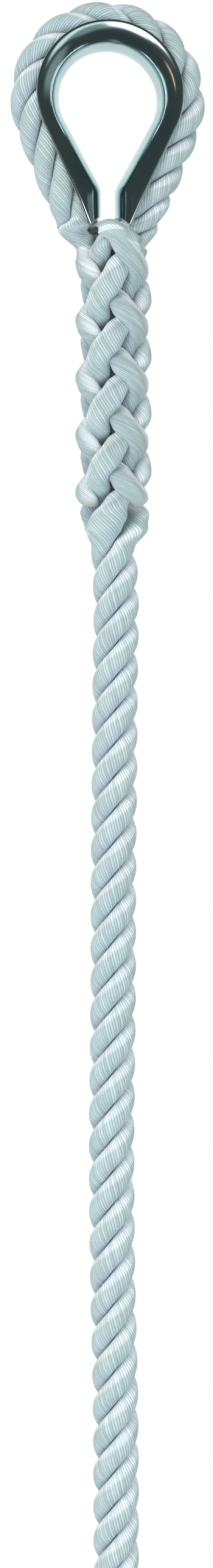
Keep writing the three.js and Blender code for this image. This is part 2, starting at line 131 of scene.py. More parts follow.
class SpliceSettings(PropertyGroup):
    """The tucks below the throat"""

    throat_drop: metres(0.001, "Throat drop", "From the tips down to the throat")
    length: metres(0.119, "Splice length", "From the throat to the plain rope")
    tuck_pitch: metres(0.0625, "Tuck pitch", "Along the splice for one full turn of a strand")
    diameter: metres(0.0266, "Splice diameter", "Across the circle round the lobes")
    standing_thickness: metres(
        0.0066, "Standing strand thickness", "Of a standing strand where it shows outside")
    standing_width: metres(
        0.0125, "Standing strand width", "Level width of a standing strand outside")
    tucked_thickness: metres(
        0.006, "Tucked strand thickness", "Of a tucked strand where it shows outside")
    tucked_width: metres(0.0165, "Tucked strand width", "Level width of a tucked strand outside")
    under_width: metres(
        0.0148, "Width under", "Level width of any strand where it passes under")
    tail_setback: metres(
        0.014, "Tail setback", "From the tucked strands' ends to the splice's end")
    lobe_column: degrees(-25, "Lobe column", "Side on which the first standing strand shows")


class StageSettings(PropertyGroup):
    """Camera, lamps and floor"""

    camera_distance: metres(0.9, "Camera distance", "From the rope's axis to the camera")
    camera_turn: degrees(-6, "Camera turn", "Round the object, to the right of the front")
    frame_height: metres(0.5724, "Frame height", "Height that the picture covers at the rope")
    view_across: metres(
        -0.0005, "View across", "How far to the right of the crown the camera looks")
    view_height: metres(
        -0.2676, "View height", "Height of the camera and of the point it looks at")
    floor_height: metres(-0.9, "Floor height", "Height of the floor")
    floor_color: rgb((0.86, 0.88, 0.88), "Floor", "Colour of the floor")
    key_power: watts(23, "Key power", "Power of the main lamp")
    fill_power: watts(8, "Fill power", "Power of the fill lamp")
    air_color: rgb((0.46, 0.49, 0.49), "Air", "Light from all round")


# Small helpers

def eased(t):
    """From 0 to 1 as t does, level at both ends"""
    c = np.clip(t, 0, 1)
    return c * c * (3 - 2 * c)


def eased_area(t):
    """The area under eased up to t"""
    c = np.clip(t, 0, 1)
    return np.where(t >= 1, t - 0.5, c ** 3 * (1 - c / 2))


def bell(offset, width):
    return np.exp(-(offset / width) ** 2)


def joined(*parts):
    return np.stack(parts, axis=-1)


def norms(vectors):
    return np.linalg.norm(vectors, axis=-1, keepdims=True)


def tube_quads(rings, sides):
    """Faces between each ring of points and the next"""
    row = np.arange(rings - 1)[:, None] * sides
    here = np.arange(sides)
    beside = (here + 1) % sides
    quads = joined(row + here, row + beside, row + beside + sides, row + here + sides)
    return quads.reshape(-1, 4)


def mesh_of(name, points, faces, *materials):
    mesh = bpy.data.meshes.new(name)
    mesh.from_pydata(points, [], faces)
    for material in materials:
        mesh.materials.append(material)
    return mesh


def linked(name, data):
    made = bpy.data.objects.new(name, data)
    bpy.context.scene.collection.objects.link(made)
    return made


# Where the strands run, in millimetres

class RopeCourse:
    """The rope's line, and each strand's place round it.

    Angles are measured round the rope's centre from the front (-Y) towards +X. Every strand
    runs up the splice as a standing strand, round the eye, and back down as a tucked one.
    """

    # The rope's own line, down the splice and as shares of the rope that hangs below it
    axis_offset = 2.2
    axis_run = 12.0
    line_shares = (-0.05, 0, 0.05, 0.12, 0.19, 0.31, 0.45, 0.58, 0.71, 0.84, 0.92, 1.05)
    line_across = (2.2, 2.2, 3.0, 2.7, 2.5, 2.1, 1.9, 1.4, 1.7, 2.8, 3.0, 3.0)

    # Below the throat: where a leg's strands have come to the rope's line
    merge = {"standing": 14, "tucked": 8}
    merge_start = {"standing": 0, "tucked": 2}
    front_merge = 6
    front_depth = 12

    # How the strands turn: over these lengths the rope opens, the tucks begin and all gathers
    spread_length = 7
    turn_start = 7
    turn_length = 5
    gather = 7
    gather_lag = 4.9
    loosened = {"standing": 0.03, "tucked": 0.3}
    throat_turn = {"standing": math.radians(10), "tucked": math.radians(63.5)}
    first_lobe_drop = 27.2
    steepness = {"standing": 0.2, "tucked": -0.13}
    first_cross = 9.0
    cross_length = 8.0

    # A strand's place and section in plain rope and where it passes under
    core_share = 0.535
    across_share = 1.25
    rope_slack = 1.15
    under_radius = {"standing": 5.2, "tucked": 4.3}
    under_thickness = 9.2
    thick_share = 1.3
    lobe_bulge = 0.6

    # Tucked strands as they cross the throat, and the thimble's channel round each leg
    slanting = 1.3
    slanting_start = 1.0
    slanting_end = 7.0
    slanting_ease = 4.0
    seat_clearance = 0.4
    tip_depth = 1.0
    tip_ease = 4.0
    tip_release = 30.0

    # The tucked strands' ends, and the standing ones closing up below them
    tip_length = 4.0
    fade_length = 6.0
    least_radius = 3.9
    thin_drop = 14.0
    thin_ease = 8.0
    closed_radius = 7.0
    closed_thickness = 13.0
    closed_width = 17.0

    def __init__(self, rope, eye, splice):
        self.rope_radius = rope.diameter / MM / 2
        self.gap = rope.strand_gap / MM
        self.yarns = rope.yarns
        self.relief = rope.yarn_relief / MM
        self.yarn_twist = rope.yarn_twist * TURN * MM
        self.rope_end = -rope.end / MM
        self.eye_rope_radius = eye.rope_diameter / MM / 2
        self.leg = eye.rope_leg_angle
        self.crown_radius = eye.opening_width / MM / 2
        self.throat = -(eye.opening_length + splice.throat_drop) / MM
        self.splice_length = splice.length / MM
        self.splice_end = self.throat - self.splice_length
        self.tail_end = self.splice_end + splice.tail_setback / MM
        self.splice_radius = splice.diameter / MM / 2
        self.thickness = {kind: getattr(splice, kind + "_thickness") / MM for kind in FAMILIES}
        self.lobe_width = {kind: getattr(splice, kind + "_width") / MM for kind in FAMILIES}
        self.under_width = splice.under_width / MM
        self.column = splice.lobe_column
        self.channel_across = (eye.tip_gap + eye.channel_width) / MM / 2
        inside = (eye.channel_width / 2 - eye.sheet_thickness) / MM
        self.channel_radius = inside - self.seat_clearance
        self.eye_radius = (self.crown_radius + eye.sheet_thickness / MM
                           + self.seat_clearance + self.eye_rope_radius)
        self.leg_top = (self.eye_radius * math.cos(self.leg),
                        -self.crown_radius - self.eye_radius * math.sin(self.leg))
        self.leg_run = (self.leg_top[1] - self.throat) / math.cos(self.leg)
        self.eye_run = 2 * self.leg_run + self.eye_radius * (math.pi + 2 * self.leg)
        self.lay_rate = TURN / (rope.lay_length / MM)
        self.tuck_rate = TURN / (splice.tuck_pitch / MM)
        share = TURN / STRANDS
        first_lobe = self.throat - self.first_lobe_drop
        self.start = {kind: self.column - float(self.turn(kind, first_lobe)) for kind in FAMILIES}
        front = self.throat - self.front_depth
        first_angle = self.start["tucked"] + float(self.turn("tucked", front))
        self.front_tuck = max(range(STRANDS), key=lambda k: math.cos(first_angle + k * share))
        self.eye_start = self.start["standing"] + self.throat_turn["standing"]
        meeting = -self.start["tucked"] - self.throat_turn["tucked"] - self.eye_start
        even_run = self.eye_run - sum(self.loosened.values()) * self.leg_run / 2
        eye_turns = even_run / (eye.lay_length / MM)
        self.eye_shift = round((TURN * eye_turns - meeting) / share)
        self.eye_rate = (meeting + share * self.eye_shift) / even_run
        run = self.rope_end - self.splice_end
        self.line_z = self.splice_end + np.array(self.line_shares) * run

    def turn(self, kind, z):
        """A kind's turn round the rope at a height, from the throat down"""
        depth = self.throat - np.asarray(z, float)
        spread = depth / self.spread_length
        if kind == "standing":
            lagged = (depth - self.splice_length - self.gather_lag) / self.gather
            splice = self.spread_length * eased_area(spread) - self.gather * eased_area(lagged + 1)
            splice = (self.lay_rate - self.tuck_rate) * splice
        else:
            begun = eased_area((depth - self.turn_start) / self.turn_length)
            splice = (self.lay_rate + self.tuck_rate) * self.turn_length * begun
        return splice - self.lay_rate * depth + self.throat_turn[kind] * (1 - eased(spread))

    def eye_angle(self, run):
        """A strand's angle round the rope in the eye, whose lay is looser towards the throat"""
        back = self.eye_run - run
        leg = self.leg_run
        lost = (self.loosened["standing"] * (run - leg * eased_area(run / leg))
                + self.loosened["tucked"] * (leg / 2 - back + leg * eased_area(back / leg)))
        return self.eye_start + self.eye_rate * (run - lost)

    def spread(self, z):
        """How far the splice is open: 1 over its length, and 0 above and below it"""
        opened = eased((self.throat - z) / self.spread_length)
        gathered = eased((self.splice_end + self.gather - z) / self.gather)
        return opened * (1 - gathered)

    def leg_offset(self, kind, index, z):
        """How far a strand's leg of the eye lies to the right of the rope's line"""
        front = kind == "tucked" and index == self.front_tuck
        merge = self.front_merge if front else self.merge[kind]
        straight = self.leg_top[0] - (self.leg_top[1] - z) * math.tan(self.leg)
        depth = self.throat - z - self.merge_start[kind]
        apart = np.maximum(straight, 0) * (1 - eased(depth / merge))
        return apart if kind == "standing" else -apart

    def line(self, z):
        """How far across the rope's centre lies at a height below the throat"""
        z = np.asarray(z, float)
        splice = self.axis_offset * eased((self.throat - z) / self.axis_run)
        knots = self.line_z[::-1]
        values = np.array(self.line_across)[::-1]
        cell = np.clip(np.searchsorted(knots, z) - 1, 0, len(knots) - 2)
        width = knots[cell + 1] - knots[cell]
        t = (z - knots[cell]) / width
        rise = values[cell + 1] - values[cell]
        first, last = (width * np.gradient(values, knots)[cell + k] for k in (0, 1))
        bend = 3 * rise - 2 * first - last + t * (first + last - 2 * rise)
        below = values[cell] + t * (first + t * bend)
        return np.where(z > self.splice_end, splice, below)

    def place(self, kind, index, z):
        """A strand's angle, its centre (across, towards the front) and how far it is over"""
        even = self.start[kind] + self.turn(kind, z) + index * TURN / STRANDS
        open_ = self.spread(z)
        angle = even - self.steepness[kind] * open_ * np.sin(STRANDS * (even - self.column))
        woven = np.cos(STRANDS * (angle - self.column))
        begun = eased((self.throat - z - self.first_cross) / self.cross_length)
        over = woven * begun - (1 - begun)
        if kind == "tucked":
            over = -over
        outer = self.splice_radius - self.thickness[kind] / 2
        inner = self.under_radius[kind]
        out = (outer + inner) / 2 + (outer - inner) / 2 * over
        out = out + (self.closed_radius - out) * self.closed(z)
        radius = self.core_share * self.plain_radius(z) * (1 - open_) + out * open_
        axis = self.line(z) + self.leg_offset(kind, index, z)
        centre = joined(axis + radius * np.sin(angle), radius * np.cos(angle))
        return angle, centre, over

    def closed(self, z):
        """How far the standing strands have closed up below the tucked strands' ends"""
        return eased((self.tail_end - z) / self.fade_length)

    def plain_radius(self, z):
        """The rope's radius above or below the splice"""
        return np.where(z > self.splice_end + self.gather, self.eye_rope_radius, self.rope_radius)

    def cover(self, kind, index, z):
        """The circle that a strand stays within: across, and its radius"""
        open_ = self.spread(z)
        bulge = self.splice_radius + self.lobe_bulge
        slack = self.rope_slack * self.plain_radius(z) * (1 - open_) + bulge * open_
        return self.line(z) + self.leg_offset(kind, index, z), slack

    def slant(self, kind, z):
        """How much longer a tucked strand's level section is where it crosses the throat"""
        depth = self.throat - z
        if kind == "standing":
            return 1 + 0 * depth
        begun = eased((depth - self.slanting_start) / self.slanting_ease)
        over = eased((depth - self.slanting_end) / self.slanting_ease)
        return 1 + self.slanting * begun * (1 - over)

    def channel(self, kind, z):
        """The circle of the thimble's channel that holds a leg's strands down to its tip"""
        freed = self.tip_release * eased((self.throat - z - self.tip_depth) / self.tip_ease)
        across = self.channel_across if kind == "standing" else -self.channel_across
        return across + 0 * z, self.channel_radius + freed

    def tuck_of(self, index):
        """The tucked strand that a standing strand comes back as"""
        return (-self.eye_shift - index) % STRANDS

    def eye_line(self, run):
        """Centre and the side that looks away from the eye, from the right leg to the left one"""
        along = np.minimum(run, self.eye_run - run)
        mirror = np.where(run > self.eye_run / 2, -1.0, 1.0)
        on_leg = along < self.leg_run
        z = self.throat + along * math.cos(self.leg)
        tilt = np.where(on_leg, self.leg, self.leg - (along - self.leg_run) / self.eye_radius)
        leg = self.leg_offset("standing", 0, z)
        across = np.where(on_leg, leg, self.eye_radius * np.cos(tilt))
        height = np.where(on_leg, z, -self.crown_radius - self.eye_radius * np.sin(tilt))
        plane_tilt = tilt * eased(along / (self.leg_run / 2))
        centre = joined(mirror * across, 0 * run, height)
        outward = joined(mirror * np.cos(plane_tilt), 0 * run, -np.sin(plane_tilt))
        return centre, outward


# Strand meshes

PRESS = 9
SOFT_PRESS = 4
LEAST_COSINE = 0.05
LEAST_REACH = 0.5
SMOOTHING = np.array([1, 2, 3, 4, 3, 2, 1]) / 16
COLUMNS_PER_YARN = 5
YARN_SEED = 3
OUTLINE_STEPS = 96
SPLICE_RINGS = 180
TUCK_RINGS = 160
EYE_RINGS = 190
HANGING_RINGS = 310
TWIST_STEPS = 1200
TIP_ROUNDING = 0.96
SEALED_SHARE = 1.2
MAP_OFFSET = 1000.0

# How the strands are drawn up under the thimble's tips: how far, about which place across, over
# what width, and the heights over the throat where that begins, is whole, fades and has ended
DRAWN_UP = ((3.0, 2.0, 5.5, -28, -8, 1, 9), (1.8, -3.5, 4.5, -23, -6, -5.8, -2.2))
# The left leg is drawn inward: how far, from which place across, eased over what width, about
# which height over the throat and over what height. All is squeezed flat about a height too.
INWARD = (1.9, -11.5, 6, -3.2, 3.4)
SQUEEZE = (0.27, -1.5, 7)


def pressed_outline(angle, centre, radial, across, others, covers=(), press=PRESS):
    """A strand's outline on each plane: an oval pressed flat by its neighbours.

    The points start on the side that faces away from the rope's centre.
    """
    way = TURN * np.arange(OUTLINE_STEPS) / OUTLINE_STEPS
    facing = angle[:, None] + way
    facing = joined(np.sin(facing), np.cos(facing))
    oval = 1 / np.hypot(np.cos(way) / radial[:, None], np.sin(way) / across[:, None])
    total = oval ** -press
    for other, gap in others:
        apart = other - centre
        distance = np.hypot(apart[:, 0], apart[:, 1])
        cosine = np.einsum("ijk,ik->ij", facing, apart) / distance[:, None]
        limit = (distance - gap)[:, None] / 2 / np.maximum(cosine, LEAST_COSINE)
        pressed = np.maximum(limit, LEAST_REACH) ** -press
        total = total + np.where(cosine > LEAST_COSINE, pressed, 0)
    for middle, radius in covers:
        away = centre - joined(middle, 0 * middle)
        toward = np.einsum("ijk,ik->ij", facing, away)
        inside = radius ** 2 - (away ** 2).sum(axis=-1)
        limit = np.sqrt(np.maximum(toward ** 2 + inside[:, None], 0)) - toward
        total = total + np.maximum(limit, LEAST_REACH) ** -press
    reach = total ** (-1 / press)
    return centre[:, None] + facing * reach[..., None]


def smoothed(outline, centre, least):
    """Outlines evened out from plane to plane, and never thinner than the least radius"""
    away = outline - centre[:, None]
    reach = np.linalg.norm(away, axis=-1)
    wanted = np.maximum(reach, least)
    side = len(SMOOTHING) // 2
    padded = np.pad(wanted, ((side, side), (0, 0)), mode="edge")
    even = sum(weight * padded[i:i + len(wanted)] for i, weight in enumerate(SMOOTHING))
    return centre[:, None] + away * (even / reach)[..., None]


def level_outline(course, kind, index, z):
    """One strand's angle, centre and outline on level planes"""
    angle, centre, over = course.place(kind, index, z)
    open_ = course.spread(z)
    half = (1 - course.core_share) * course.plain_radius(z)
    share = (1 + over) / 2
    closed = course.closed(z)
    lobe = course.thick_share * course.thickness[kind]
    thick = course.under_thickness * (1 - share) + lobe * share
    width = course.under_width * (1 - share) + course.lobe_width[kind] * share
    thick = thick + (course.closed_thickness - thick) * closed
    width = width + (course.closed_width - width) * closed
    radial = half * (1 - open_) + thick / 2 * open_
    across = course.across_share * half * (1 - open_) + width / 2 * open_
    below_tails = z.max() < course.tail_end - course.fade_length
    families = FAMILIES[:1] if below_tails else FAMILIES
    others = []
    for family in families:
        gap = course.gap - (2 * course.fade_length * closed if family == "tucked" else 0)
        others += [(course.place(family, k, z)[1], gap + 0 * z)
                   for k in range(STRANDS) if (family, k) != (kind, index)]
    press = (PRESS + (SOFT_PRESS - PRESS) * open_)[:, None]
    slant = course.slant(kind, z)
    covers = [course.cover(kind, index, z), course.channel(kind, z)]
    outline = pressed_outline(angle, centre, radial * slant, across * slant, others, covers, press)
    thick_enough = eased((z - course.tail_end + course.thin_drop) / course.thin_ease)
    least = course.least_radius * thick_enough[:, None]
    return angle, centre, smoothed(outline, centre, least)


class StrandMesh:
    """Collects rings of points along strands, and makes one mesh of them.

    Each column of points follows a yarn, so that the grooves between yarns are real ones.
    """

    def __init__(self, course):
        self.course = course
        self.sides = course.yarns * COLUMNS_PER_YARN
        self.points, self.faces, self.uvs, self.caps = [], [], [], []
        # sealed marks the hot cut tips; the other mark is the mask of the painted top light
        self.marks = {"sealed": [], "painted_top_light": []}
        self.count = 0
        part = (np.arange(self.sides) % COLUMNS_PER_YARN) / COLUMNS_PER_YARN
        # No two yarns lie quite as deep
        depths = np.random.default_rng(YARN_SEED).uniform(0.5, 1.5, course.yarns)
        self.groove = (1 - np.sqrt(1 - (2 * part - 1) ** 2)) * np.repeat(depths, COLUMNS_PER_YARN)

    def columns(self, outline, twist):
        """Points spaced evenly along each outline, turned by the yarns' twist"""
        closed = np.concatenate([outline, outline[:, :1]], axis=1)
        steps = np.linalg.norm(np.diff(closed, axis=1), axis=-1)
        runs = np.concatenate([np.zeros((len(outline), 1)), np.cumsum(steps, axis=1)], axis=1)
        points = []
        for loop, run, turn in zip(closed, runs, twist):
            wanted = (np.arange(self.sides) / self.sides - turn / TURN) % 1 * run[-1]
            points.append(joined(*(np.interp(wanted, run, values) for values in loop.T)))
        return np.array(points)

    def yarned(self, outline, centre, twist, plain=0.0):
        """Columns whose points between yarns are drawn in to the centre, less where plain"""
        points = self.columns(outline, twist)
        away = points - centre[:, None]
        depth = self.course.relief * self.groove * (1 - plain + np.zeros(len(points)))[:, None]
        return points - away / norms(away) * depth[..., None]

    def painted_light_mask(self, rings, centres, outward):
        """Mask for painted top light: 1 where a strand's flank faces up the rope, -1 where it
        faces down
        """
        flank = np.cross(np.gradient(centres, axis=0), outward)
        flank = flank / norms(flank)
        away = rings - centres[:, None]
        away = away / norms(away)
        return (away * flank[:, None]).sum(axis=-1) * flank[:, None, 2]

    def add(self, rings, along, sealed, index, cap_slots, centres, outward):
        """Rings (n, sides, 3) in millimetres, closed by a flat fan at each end"""
        n, sides = rings.shape[:2]
        self.points.append(rings.reshape(-1, 3))
        self.marks["sealed"].append(np.repeat(sealed, sides))
        self.marks["painted_top_light"].append(self.painted_light_mask(rings, centres, outward).ravel())
        self.faces.append(tube_quads(n, sides) + self.count)
        shape = (n - 1, sides)
        column = np.arange(sides)
        along = along + MAP_OFFSET * index
        corners = [joined(np.broadcast_to((column + right) / sides * self.course.yarns, shape),
                          np.broadcast_to(along[up:n - 1 + up, None], shape))
                   for right, up in ((0, 0), (1, 0), (1, 1), (0, 1))]
        self.uvs.append(np.stack(corners, axis=-2).reshape(-1, 2))
        first = np.arange(self.count, self.count + sides)
        self.caps += [(first[::-1], cap_slots[0]), (first + (n - 1) * sides, cap_slots[1])]
        self.count += n * sides

    def build(self, name, rope):
        """The mesh object, with the yarn in slot 0 and the hot cut ends in slot 1"""
        points = np.concatenate(self.points) * MM
        quads = np.concatenate(self.faces)
        faces = quads.tolist() + [cap.tolist() for cap, _ in self.caps]
        mesh = mesh_of(name, points.tolist(), faces,
                       shared("Laid white yarn", yarn_material, rope),
                       shared("Hot cut yarn", sealed_material, rope))
        mesh.update(calc_edges=True)
        flat = np.concatenate([np.concatenate(self.uvs).ravel()]
                              + [np.zeros(2 * self.sides)] * len(self.caps))
        mesh.uv_layers.new(name="Yarn").data.foreach_set("uv", flat.astype(np.float32))
        for mark, values in self.marks.items():
            layer = mesh.attributes.new(mark, "FLOAT", "POINT")
            layer.data.foreach_set("value", np.concatenate(values).astype(np.float32))
        slots = np.zeros(len(faces), np.int32)
        slots[len(quads):] = [slot for _, slot in self.caps]
        mesh.polygons.foreach_set("material_index", slots)
        mesh.polygons.foreach_set("use_smooth", np.arange(len(faces)) < len(quads))
        on_cap = np.zeros(len(points), bool)
        for cap, _ in self.caps:
            on_cap[cap] = True
        edges = np.empty(2 * len(mesh.edges), np.int32)
        mesh.edges.foreach_get("vertices", edges)
        sharp = on_cap[edges.reshape(-1, 2)].all(axis=1)
        mesh.attributes.new("sharp_edge", "BOOLEAN", "EDGE").data.foreach_set("value", sharp)
        if mesh.validate():
            raise RuntimeError(f"{name} has faulty faces")
        return linked(name, mesh)


def twist_along(course, centres, axis_step, turned):
    """Turns of the yarns against the strand's outward side, and the length, ring by ring"""
    steps = np.linalg.norm(np.diff(centres, axis=0), axis=1)
    lean = np.clip(axis_step / np.maximum(steps, 1e-6), 0, 1)
    change = course.yarn_twist * steps + lean * np.diff(turned)
    return [np.concatenate([[0], np.cumsum(values)]) for values in (change, steps)]


def level(points, z):
    """Points (across, towards the front) on level planes, in space"""
    height = np.broadcast_to(z[:, None], points.shape[:2])
    return joined(points[..., 0], -points[..., 1], height)


def level_line(centre, z):
    """The same for one point on each plane"""
    return joined(centre[:, 0], -centre[:, 1], z)


def drawn_up(rings, throat):
    """Strands pulled up tight under the thimble's tips"""
    x, y, height = rings[..., 0], rings[..., 1], rings[..., 2] - throat
    up = 0
    for far, place, width, begun, whole, fading, over in DRAWN_UP:
        here = eased((height - begun) / (whole - begun)) * eased((over - height) / (over - fading))
        up = up + far * bell(x - place, width) * here
    far, edge, ease, middle, tall = INWARD
    inward = far * eased((edge - x) / ease) * bell(height - middle, tall)
    share, middle, tall = SQUEEZE
    return rings + joined(inward, -share * y * bell(height - middle, tall), up)


def outward_at(angle):
    """The way from the rope's axis to a strand at an angle from the front"""
    return joined(np.sin(angle), -np.cos(angle), 0 * angle)


def eye_section(course, index, run):
    """One strand's angle, centre and outline across the rope in the eye"""
    share = TURN / STRANDS
    angle = course.eye_angle(run) + index * share
    half = (1 - course.core_share) * course.eye_rope_radius + 0 * run

    def around(way):
        return course.core_share * course.eye_rope_radius * joined(np.sin(way), np.cos(way))

    centre = around(angle)
    others = [(around(angle + k * share), course.gap + 0 * run) for k in (1, 2)]
    return angle, centre, pressed_outline(angle, centre, half, course.across_share * half, others)


def spliced_strand(course, index, mesh):
    """One strand, up the splice, round the eye and back down to its sealed tip"""
    tuck = course.tuck_of(index)
    up = np.linspace(course.splice_end, course.throat, SPLICE_RINGS)
    down = np.linspace(course.throat, course.tail_end, TUCK_RINGS)
    run = np.linspace(0, course.eye_run, EYE_RINGS)[1:-1]
    up_angle, up_centre, up_outline = level_outline(course, "standing", index, up)
    down_angle, down_centre, down_outline = level_outline(course, "tucked", tuck, down)
    eye_angle, eye_local, eye_outline = eye_section(course, index, run)
    eye_centre, outward = course.eye_line(run)
    front = np.array([0.0, -1.0, 0.0])

    def to_space(points):
        return eye_centre[:, None] + outward[:, None] * points[..., :1] + front * points[..., 1:2]

    centres = np.concatenate([level_line(up_centre, up), to_space(eye_local[:, None])[:, 0],
                              level_line(down_centre, down)])
    last_turn = float(course.eye_angle(course.eye_run)) + index * (TURN / STRANDS)
    turned = np.concatenate([up_angle, eye_angle, last_turn - (down_angle - down_angle[0])])
    axis = np.repeat([up[1] - up[0], run[1] - run[0], down[0] - down[1]],
                     [len(up) - 1, len(run) + 1, len(down) - 1])
    twist, length = twist_along(course, centres, axis, turned)
    up_twist, eye_twist, down_twist = np.split(twist, [len(up), len(up) + len(run)])

    above_tip = (down - course.tail_end) / course.tip_length
    tip_scale = np.sqrt(1 - (1 - np.clip(above_tip, 0, 1)) ** 2 * TIP_ROUNDING)[:, None, None]
    sealed = eased(1 - above_tip / SEALED_SHARE)
    up_points = mesh.yarned(up_outline, up_centre, up_twist)
    eye_points = mesh.yarned(eye_outline, eye_local, eye_twist)
    # Going down, the outline is followed the other way round
    down_way = np.concatenate([down_outline[:, :1], down_outline[:, :0:-1]], axis=1)
    down_points = mesh.yarned(down_way, down_centre, down_twist, sealed)
    down_middle = down_centre[:, None]
    down_points = down_middle + (down_points - down_middle) * tip_scale
    rings = np.concatenate([level(up_points, up), to_space(eye_points), level(down_points, down)])
    eye_out = outward * np.sin(eye_angle)[:, None] + front * np.cos(eye_angle)[:, None]
    out = np.concatenate([outward_at(up_angle), eye_out, outward_at(down_angle)])
    sealed = np.concatenate([0 * up, 0 * run, sealed])
    mesh.add(drawn_up(rings, course.throat), length, sealed, index, (0, 1), centres, out)


def hanging_strands(course, top, bottom, mesh, last):
    """The three strands of one stretch of the standing rope"""
    whole = np.linspace(course.splice_end, course.rope_end, HANGING_RINGS)
    least_step = 0.01
    z = whole[(whole < top - least_step) & (whole > bottom + least_step)]
    z = np.concatenate([[top], z, [bottom]])
    full = np.linspace(course.splice_end, course.rope_end, TWIST_STEPS)
    for index in range(STRANDS):
        full_angle, full_centre, _ = course.place("standing", index, full)
        step = np.full(len(full) - 1, full[0] - full[1])
        full_line = level_line(full_centre, full)
        twist, length = twist_along(course, full_line, step, -full_angle)
        angle, centre, outline = level_outline(course, "standing", index, z)
        points = mesh.yarned(outline, centre, -np.interp(-z, -full, twist))
        along = -np.interp(-z, -full, length)
        mesh.add(level(points, z)[::-1], along[::-1], 0 * z, index, (1 if last else 0, 0),
                 level_line(centre, z)[::-1], outward_at(angle)[::-1])


# The thimble's mesh

ARC_STEPS = 33
EDGE_STEPS = 9
TIP_STEPS = 8
BEND_STEPS = 9
LEG_STEPS = 23
CROWN_STEPS = 131
TIP_BEND = 6.0
TIP_HEIGHT = 6.2
TIP_SLANT = math.radians(45)
EDGE_SHARE = 0.6
ROUNDING = 0.0003


def thimble_stations(course, eye):
    """Matching points of the bearing line and the rim line, from tip to tip over the crown"""
    crown = course.crown_radius
    rim_radius = crown + eye.rim_height / MM
    lean = eye.leg_angle
    tip_x = -eye.tip_gap / MM / 2
    tip_z = -eye.opening_length / MM
    tangent = np.array([-crown * math.cos(lean), -crown - crown * math.sin(lean)])
    bend_x = tip_x - TIP_BEND * (1 - math.cos(lean))
    leg_length = (bend_x - tangent[0]) / math.sin(lean)
    bend_top = np.array([bend_x, tangent[1] - leg_length * math.cos(lean)])
    bend_foot = bend_top[1] - TIP_BEND * math.sin(lean)
    ways = np.linspace(0, lean, BEND_STEPS)[:-1]
    shares = np.linspace(0, 1, LEG_STEPS)[:, None]
    tip = np.linspace(tip_z, bend_foot, TIP_STEPS)[:-1]
    bearing = np.concatenate([
        joined(tip_x + 0 * tip, tip),
        joined(tip_x - TIP_BEND * (1 - np.cos(ways)), bend_foot + TIP_BEND * np.sin(ways)),
        bend_top + (tangent - bend_top) * shares])
    runs = np.cumsum(np.linalg.norm(np.diff(bearing, axis=0), axis=1))
    shares = np.concatenate([[0], runs[:-1]])[:, None] / runs[-1]
    bearing = bearing[:-1]
    slant = np.array([math.cos(TIP_SLANT), math.sin(TIP_SLANT)])
    rim_tip = np.array([tip_x, tip_z]) - TIP_HEIGHT * slant
    middle = np.array([0, -crown])
    rim_crown = middle - rim_radius * np.array([math.cos(lean), math.sin(lean)])
    rim = rim_tip + (rim_crown - rim_tip) * shares
    ways = np.linspace(math.pi + lean, -lean, CROWN_STEPS)
    outward = joined(np.cos(ways), np.sin(ways))
    mirror = np.array([-1, 1])
    bearing = np.concatenate([bearing, middle + crown * outward, bearing[::-1] * mirror])
    rim = np.concatenate([rim, middle + rim_radius * outward, rim[::-1] * mirror])
    return bearing, rim


def channel_section(eye, height):
    """The channel's section as (height above the bearing line, across), with a rounded rim"""
    outer = eye.channel_width / MM / 2
    inner = outer - eye.sheet_thickness / MM
    middle = (outer + inner) / 2
    edge = (outer - inner) / 2
    reach = math.acos(max(-1, min(1, 1 - height / outer))) - EDGE_SHARE * edge / middle
    arc = np.linspace(-reach, reach, ARC_STEPS)
    ways = np.radians(np.linspace(90, -90, EDGE_STEPS + 2)[1:-1])
    rounded = reach + edge * np.cos(ways) / middle
    radii = np.concatenate([outer + 0 * arc, middle + edge * np.sin(ways), inner + 0 * arc,
                            middle - edge * np.sin(ways)])
    angles = np.concatenate([arc, rounded, -arc, -rounded])
    return outer - radii * np.cos(angles), radii * np.sin(angles)


def end_faces(start, sides):
    """Faces of the end whose points begin at start: strips between the arcs, and the edges"""
    inner = ARC_STEPS + EDGE_STEPS
    mates = [inner + ARC_STEPS - 1 - i for i in range(ARC_STEPS)]
    strips = [[start + i, start + mates[i], start + mates[i + 1], start + i + 1]
              for i in range(ARC_STEPS - 1)]
    right = [start + i for i in range(ARC_STEPS - 1, inner + 1)]
    left = [start + i for i in range(inner + ARC_STEPS - 1, sides)] + [start]
    return strips + [right[::-1], left[::-1]]


def build_thimble(course, eye, material):
    bearing, rim = thimble_stations(course, eye)
    up = rim - bearing
    heights = np.hypot(up[:, 0], up[:, 1])
    rings = []
    for base, way, height in zip(bearing, up / heights[:, None], heights):
        out, across = channel_section(eye, height)
        rings.append(joined(base[0] + way[0] * out, across, base[1] + way[1] * out))
    rings = np.array(rings)
    n, sides = rings.shape[:2]
    last = [face[::-1] for face in end_faces((n - 1) * sides, sides)]
    faces = tube_quads(n, sides).tolist() + end_faces(0, sides) + last
    points = rings.reshape(-1, 3) * MM
    mesh = mesh_of("polished_thimble", points.tolist(), faces, material)
    mesh.polygons.foreach_set("use_smooth", np.ones(len(faces), bool))
    mesh.update(calc_edges=True)
    piece = linked("polished_thimble", mesh)
    bpy.context.view_layer.objects.active = piece
    bevel = piece.modifiers.new("Rounded edges", "BEVEL")
    bevel.width = ROUNDING
    bevel.segments = 3
    bevel.limit_method = "ANGLE"
    bevel.angle_limit = math.radians(50)
    bevel.harden_normals = True
    return piece


# Materials

